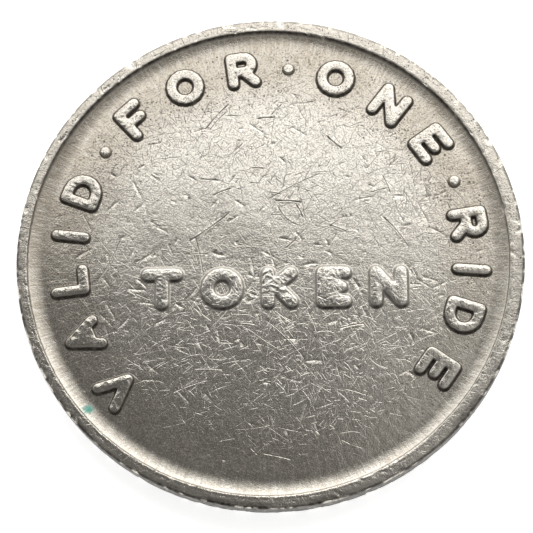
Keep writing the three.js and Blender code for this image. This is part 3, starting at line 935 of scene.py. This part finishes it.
VERDIGRIS_SPOT = (-8.09, -6.96, 1.05)  # mm, on the ramp
VERDIGRIS_REACH = 0.26


def with_verdigris(n, where, finish, colour, rough, metallic):
    """A small green stain over the metal."""
    away = n.measure("DISTANCE", where, VERDIGRIS_SPOT)
    ragged = n.times_plus(n.noise(where, 7.0, 3.0, 0.65), 0.5, away)
    stain = n.ranged(ragged, VERDIGRIS_REACH + 0.32, VERDIGRIS_REACH + 0.04, 0.0, 0.8, eased=True)
    colour = n.mix(stain, colour, tuple(finish.verdigris))
    rough = n.times_plus(stain, 0.35, rough, clamp=True)
    metallic = n.minus(metallic, stain, clamp=True)
    return colour, rough, metallic


def crust_material(finish):
    """Dull powdery copper salts."""
    material, n, where = new_material("Verdigris crust")
    pale = tuple(min(1, 1.5 * c + 0.06) for c in finish.verdigris[:3]) + (1.0,)
    colour = n.mix(n.noise(where, 12.0, 3.0), tuple(finish.verdigris), pale)
    bump = n.add("ShaderNodeBump", {
        "Height": n.noise(where, 40.0, 2.0), "Distance": 0.004 * MM, "Strength": 0.6})
    rough = n.ranged(n.noise(where, 20.0, 2.0), 0.3, 0.7, 0.7, 0.9)
    n.surface(colour, rough, bump)
    return material


# ---- geometry nodes

def made_by(tree, name, values):
    """The plain mesh that a geometry tree makes from the given inputs."""
    start = bpy.data.meshes.new(name + " start")
    holder = linked(name + " start", start)
    modifier = holder.modifiers.new("Shape", "NODES")
    modifier.node_group = tree
    for item in tree.interface.items_tree:
        if item.in_out == "INPUT":
            modifier[item.identifier] = values[item.name]
    bpy.context.view_layer.update()
    evaluated = holder.evaluated_get(bpy.context.evaluated_depsgraph_get())
    mesh = bpy.data.meshes.new_from_object(evaluated)
    mesh.name = name
    holder.modifiers.remove(modifier)
    bpy.data.objects.remove(holder)
    bpy.data.meshes.remove(start)
    return linked(name, mesh)


def pellet_tree():
    """A struck pellet: a low dome with a flared foot, a worn crown and a root below the field."""
    tree, n, given = new_group(
        "Struck pellet", "GeometryNodeTree", Centre="Vector", Radius="Float", Rise="Float",
        Root="Float", Wear="Float", Half_turn="Float", Material="Material")
    ball = n.add("GeometryNodeMeshUVSphere", {"Segments": 64, "Rings": 48, "Radius": 1.0}).outputs["Mesh"]
    on_ball = n.add("GeometryNodeInputPosition").outputs[0]
    parts = n.split(on_ball)
    up = n.math("MAXIMUM", parts[2], 0.0)
    down = n.math("MINIMUM", parts[2], 0.0)
    out = n.math("SQRT", n.minus(1.0, n.times(parts[2], parts[2]), clamp=True))
    flank = n.ranged(out, 1.0, 0.6, eased=True)
    dome = n.times(flank, n.times_plus(up, 0.25, 0.75))
    seed = n.vector("ADD", n.scaled(given["Centre"], 9000.0), on_ball)
    worn = n.times(n.minus(n.noise(seed, 1.6, 3.0, 0.6), 0.5), given["Wear"])
    crown = n.math("ADD", n.times(dome, given["Rise"]), n.times(worn, up))
    z = n.math("ADD", crown, n.times(down, given["Root"]))
    flare = n.math("POWER", n.minus(1.0, n.math("ABSOLUTE", parts[2])), 9.0)
    wide = n.times(given["Radius"], n.times_plus(flare, 0.1, 1.0))
    shaped = n.joined(n.times(parts[0], wide), n.times(parts[1], wide), z)
    turned = n.add("ShaderNodeVectorRotate", {"Vector": shaped, "Angle": given["Half turn"]},
                   rotation_type="X_AXIS").outputs[0]
    made = ball
    # The foot is darkened with dirt and painted shade all round; the crown gets wear
    for name, value in (("grime", n.ranged(out, 0.78, 0.97)), ("wear", n.ranged(out, 0.8, 0.6))):
        made = n.add("GeometryNodeStoreNamedAttribute", {"Geometry": made, "Name": name, "Value": value},
                     data_type="FLOAT", domain="POINT").outputs[0]
    placed = n.add("GeometryNodeSetPosition", {
        "Geometry": made, "Position": n.vector("ADD", turned, given["Centre"])}).outputs[0]
    return finished_pieces(tree, n, placed, given["Material"])


def finished_pieces(tree, n, pieces, material):
    """Ends a geometry tree: real, smooth and of one material."""
    real = n.add("GeometryNodeRealizeInstances", {"Geometry": pieces}).outputs[0]
    soft = n.add("GeometryNodeSetShadeSmooth", {"Geometry": real}).outputs[0]
    done = n.add("GeometryNodeSetMaterial", {"Geometry": soft, "Material": material}).outputs[0]
    return finish_group(tree, n, "Geometry", "Geometry", done)


def make_dome(node, level, material, half_turn=0.0):
    """Strikes one pellet or lamp where its CAD solid stands."""
    low, high = box_mm(node)
    centre = (low + high) / 2
    tree = bpy.data.node_groups.get("Struck pellet") or pellet_tree()
    piece = made_by(tree, node, {
        "Centre": (centre[0] * MM, centre[1] * MM, level * MM),
        "Radius": (high[0] - low[0]) / 2 * MM,
        "Rise": (high[2] - low[2] + 0.004) * MM,
        "Root": FOOT_DEPTH * MM,
        "Wear": 0.03 * MM,
        "Half turn": half_turn,
        "Material": material,
    })
    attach(piece, BODY)
    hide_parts(node)
    return piece


def grain_tree():
    """Grains scattered over a round patch of a surface, each one sitting on it."""
    tree, n, given = new_group(
        "Scattered grains", "GeometryNodeTree", Surface="Object", Centre="Vector", Spread="Float",
        Density="Float", Grain="Float", Seed="Int", Material="Material")
    disc = n.add("GeometryNodeMeshCircle", {"Vertices": 24, "Radius": given["Spread"]}, fill_type="NGON")
    placed = n.add("GeometryNodeTransform", {"Geometry": disc.outputs[0], "Translation": given["Centre"]})
    points = n.add("GeometryNodeDistributePointsOnFaces", {
        "Mesh": placed.outputs[0], "Density": given["Density"], "Seed": given["Seed"]}).outputs["Points"]
    surface = n.add("GeometryNodeObjectInfo", {"Object": given["Surface"]}).outputs["Geometry"]
    cast = n.add("GeometryNodeRaycast", {
        "Target Geometry": surface, "Ray Direction": (0, 0, -1), "Ray Length": 0.01})
    down = n.add("GeometryNodeSetPosition", {
        "Geometry": points, "Position": cast.outputs["Hit Position"]}).outputs[0]
    grain = n.add("GeometryNodeMeshIcoSphere", {"Radius": given["Grain"], "Subdivisions": 2}).outputs["Mesh"]
    size, turn = (
        n.add("FunctionNodeRandomValue", {0: low, 1: high, "Seed": given["Seed"]},
              data_type="FLOAT_VECTOR")
        for low, high in (((0.35, 0.35, 0.12), (1.0, 1.0, 0.4)), ((0, 0, 0), (0.3, 0.3, 6.28))))
    scattered = n.add("GeometryNodeInstanceOnPoints", {
        "Points": down, "Instance": grain, "Rotation": turn.outputs[0], "Scale": size.outputs[0]})
    return finished_pieces(tree, n, scattered.outputs[0], given["Material"])


# ---- the stage

CAMERA_DISTANCE = 90.0  # mm
CAMERA_TARGET = (-0.161, -0.33, 0.6)  # mm
CAMERA_ELEVATION = 73.7
CAMERA_AZIMUTH = 6.0
CAMERA_ROLL = -6.5
FRAME_WIDTH = 24.2  # mm seen at the target
SENSOR = 36.0


def make_camera():
    data = bpy.data.cameras.new("Camera")
    data.sensor_width = SENSOR
    data.lens = SENSOR * CAMERA_DISTANCE / FRAME_WIDTH
    data.clip_start = 0.001
    data.clip_end = 50
    camera = linked("Camera", data)
    azimuth, elevation = math.radians(CAMERA_AZIMUTH), math.radians(CAMERA_ELEVATION)
    back = Vector((math.sin(azimuth) * math.cos(elevation),
                   -math.cos(azimuth) * math.cos(elevation), math.sin(elevation)))
    right = (-back).cross(Vector((0, 0, 1))).normalized()
    up = right.cross(-back)
    roll = math.radians(CAMERA_ROLL)
    turned_right = right * math.cos(roll) + up * math.sin(roll)
    turned_up = up * math.cos(roll) - right * math.sin(roll)
    place = Matrix((turned_right, turned_up, back)).transposed().to_4x4()
    place.translation = (Vector(CAMERA_TARGET) + back * CAMERA_DISTANCE) * MM
    camera.matrix_world = place
    bpy.context.scene.camera = camera


def make_panel_light(name, centre, size, turn, power):
    """A soft rectangular light that faces down, in mm, turned about Z in degrees."""
    data = bpy.data.lights.new(name, "AREA")
    data.shape = "RECTANGLE"
    data.size, data.size_y = size[0] * MM, size[1] * MM
    data.energy = power
    light = linked(name, data)
    turned = Matrix.Rotation(math.radians(turn), 4, "Z")
    light.matrix_world = Matrix.Translation(Vector(centre) * MM) @ turned
    light.visible_camera = False


STUDIO_DIM = 0.135
# The bright parts of the studio: direction, cosines where each starts and is full, brightness
STUDIO_LOBES = (
    ((0.15, 0.85, 0.25), 0.6, 0.95, 1.2),
    ((0.34, 0.38, 0.86), 0.96, 0.99, 0.5),
)
HORIZON_GLOW = 0.3  # brightness of the band that runs round the studio above the floor


def make_world():
    """A studio that is bright towards the back and the right, and dim overhead and in front."""
    world = bpy.data.worlds.new("Studio")
    bpy.context.scene.world = world
    world.use_nodes = True
    world.node_tree.nodes.clear()
    n = Nodes(world.node_tree)
    heading = n.add("ShaderNodeTexCoord").outputs["Generated"]
    level = STUDIO_DIM
    for direction, edge, core, amount in STUDIO_LOBES:
        towards = n.measure("DOT_PRODUCT", heading, tuple(Vector(direction).normalized()))
        level = n.math("ADD", n.ranged(towards, edge, core, 0.0, amount, eased=True), level)
    up = n.split(heading)[2]
    level = n.math("ADD", n.ranged(up, 0.66, 0.4, 0.0, HORIZON_GLOW, eased=True), level)
    background = n.add("ShaderNodeBackground", {"Color": (1.0, 0.985, 0.965, 1), "Strength": level})
    n.add("ShaderNodeOutputWorld", {0: background.outputs[0]})


def make_floor():
    material = bpy.data.materials.new("Floor")
    material.use_nodes = True
    shader = material.node_tree.nodes["Principled BSDF"]
    shader.inputs["Base Color"].default_value = (0.85, 0.85, 0.85, 1)
    shader.inputs["Roughness"].default_value = 0.9
    shader.inputs["Emission Color"].default_value = (1, 1, 1, 1)
    shader.inputs["Emission Strength"].default_value = 0.78
    half = 3.0  # metres
    mesh = bpy.data.meshes.new("Floor")
    corners = [(-half, -half, 0), (half, -half, 0), (half, half, 0), (-half, half, 0)]
    mesh.from_pydata(corners, [], [(0, 1, 2, 3)])
    mesh.materials.append(material)
    linked("Floor", mesh)


# ---- operators

def faces_of(shape):
    """The obverse and the reverse face, the same each time they are asked for."""
    obverse = Face(OBVERSE_FIELD, 1, 100, shape.scratches, LONG_SCRATCHES, shape.dish / MM)
    reverse = Face(REVERSE_FIELD, -1, 200, shape.scratches // 4, (), shape.dish / MM)
    return obverse, reverse


class TokenStep:
    """What the operators share: each makes its pieces from the scene's two groups of settings."""

    def execute(self, context):
        self.make(context.scene.token_shape, context.scene.token_finish)
        return {"FINISHED"}


class TOKEN_OT_blank(TokenStep, bpy.types.Operator):
    """Make the struck blank: both fields, the rim, the edge, and the marks of handling"""
    bl_idname = "token.blank"
    bl_label = "Blank"

    def make(self, shape, finish):
        material = metal_material("Cupronickel field", finish, 0.22, 7.3, 9.2, 1.0, 0.52, on_edge=True)
        make_blank(shape, *faces_of(shape), material)


class TOKEN_OT_legend(TokenStep, bpy.types.Operator):
    """Strike the letters of the legend, each a little differently worn"""
    bl_idname = "token.legend"
    bl_label = "Legend"

    def make(self, shape, finish):
        obverse, _ = faces_of(shape)
        material = metal_material("Cupronickel relief", finish, 0.2, 7.0, 6.0, 1.4)
        rng = np.random.default_rng(41)
        for i, node in enumerate(LEGEND):
            strike(node, obverse, LETTER_STEP, RELIEF, shape.flank / MM, rng.uniform(0.12, 0.3),
                   rng.uniform(0.002, 0.008), 500 + i, material)


WORD_HEIGHTS = (0.66, 0.72, 0.66, 0.78, 0.9)  # shares of the legend's relief that wear left
WORD_WRINKLES = (0.005, 0.003, 0.009, 0.004, 0.003)  # mm, how crumpled each letter's top is


class TOKEN_OT_word(TokenStep, bpy.types.Operator):
    """Strike the word across the middle, which has taken the most wear"""
    bl_idname = "token.word"
    bl_label = "Word"

    def make(self, shape, finish):
        obverse, _ = faces_of(shape)
        material = metal_material("Cupronickel word", finish, 0.22, 8.0, 8.0, 0.5)
        for i, (node, height, wrinkle) in enumerate(zip(WORD, WORD_HEIGHTS, WORD_WRINKLES)):
            strike(node, obverse, LETTER_STEP, RELIEF * height, 1.55 * shape.flank / MM,
                   0.25, wrinkle, 600 + i, material, softness=0.04, foot_fade=0.5)


class TOKEN_OT_pellets(TokenStep, bpy.types.Operator):
    """Strike the pellets between the words of the legend"""
    bl_idname = "token.pellets"
    bl_label = "Pellets"

    def make(self, shape, finish):
        material = metal_material("Cupronickel pellet", finish, 0.2, 2.6, 3.0, 1.2)
        for node in PELLETS:
            make_dome(node, OBVERSE_FIELD, material)


class TOKEN_OT_tram(TokenStep, bpy.types.Operator):
    """Strike the tramcar and its track on the reverse"""
    bl_idname = "token.tram"
    bl_label = "Tramcar"

    def make(self, shape, finish):
        _, reverse = faces_of(shape)
        material = metal_material("Cupronickel device", finish, 0.21, 3.4, 5.0, 0.5)
        for i, node in enumerate(DEVICE):
            low, high = box_mm(node)
            strike(node, reverse, DEVICE_STEP, high[2] - low[2], shape.flank / MM, 0.12, 0.004,
                   700 + i, material)
        for node in LAMPS:
            make_dome(node, box_mm(node)[1][2], material, half_turn=math.pi)


class TOKEN_OT_verdigris(TokenStep, bpy.types.Operator):
    """Scatter the grains of copper salts in the rim's corner"""
    bl_idname = "token.verdigris"
    bl_label = "Verdigris"

    def make(self, shape, finish):
        material = crust_material(finish)
        x, y, z = VERDIGRIS_SPOT
        piece = made_by(grain_tree(), "verdigris_crust", {
            "Surface": bpy.data.objects["blank"],
            "Centre": (x * MM, y * MM, 2 * z * MM),
            "Spread": 0.15 * MM,
            "Density": 3e8,
            "Grain": 0.016 * MM,
            "Seed": 5,
            "Material": material,
        })
        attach(piece, BODY)


class TOKEN_OT_stage(TokenStep, bpy.types.Operator):
    """Lay the floor, and set up the studio and the camera"""
    bl_idname = "token.stage"
    bl_label = "Stage"

    def make(self, shape, finish):
        make_floor()
        make_world()
        make_panel_light("Back softbox", (2, 46.4, 30), (120, 72), -5, 0.0402)
        make_panel_light("Right softbox", (18, -2, 30), (22, 26), -10, 0.0006)
        make_camera()
        bpy.context.scene.view_settings.view_transform = "Standard"


class TOKEN_PT_panel(bpy.types.Panel):
    """Lists the token's pieces and its sizes"""
    bl_idname = "TOKEN_PT_panel"
    bl_label = "Transit Token"
    bl_space_type = "VIEW_3D"
    bl_region_type = "UI"
    bl_category = "Token"

    def draw(self, context):
        for group in (context.scene.token_shape, context.scene.token_finish):
            for name in group.__annotations__:
                self.layout.prop(group, name)
        for operator in OPERATORS:
            self.layout.operator(operator.bl_idname)


OPERATORS = (
    TOKEN_OT_blank,
    TOKEN_OT_legend,
    TOKEN_OT_word,
    TOKEN_OT_pellets,
    TOKEN_OT_tram,
    TOKEN_OT_verdigris,
    TOKEN_OT_stage,
)
CLASSES = (TokenShape, TokenFinish, *OPERATORS, TOKEN_PT_panel)


def register():
    for each in CLASSES:
        bpy.utils.register_class(each)
    bpy.types.Scene.token_shape = bpy.props.PointerProperty(type=TokenShape)
    bpy.types.Scene.token_finish = bpy.props.PointerProperty(type=TokenFinish)


def unregister():
    del bpy.types.Scene.token_shape
    del bpy.types.Scene.token_finish
    for each in reversed(CLASSES):
        bpy.utils.unregister_class(each)


def main():
    register()
    bpy.ops.token.blank()
    bpy.ops.token.legend()
    bpy.ops.token.word()
    bpy.ops.token.pellets()
    bpy.ops.token.tram()
    bpy.ops.token.verdigris()
    bpy.ops.token.stage()


if __name__ == "__main__":
    main()
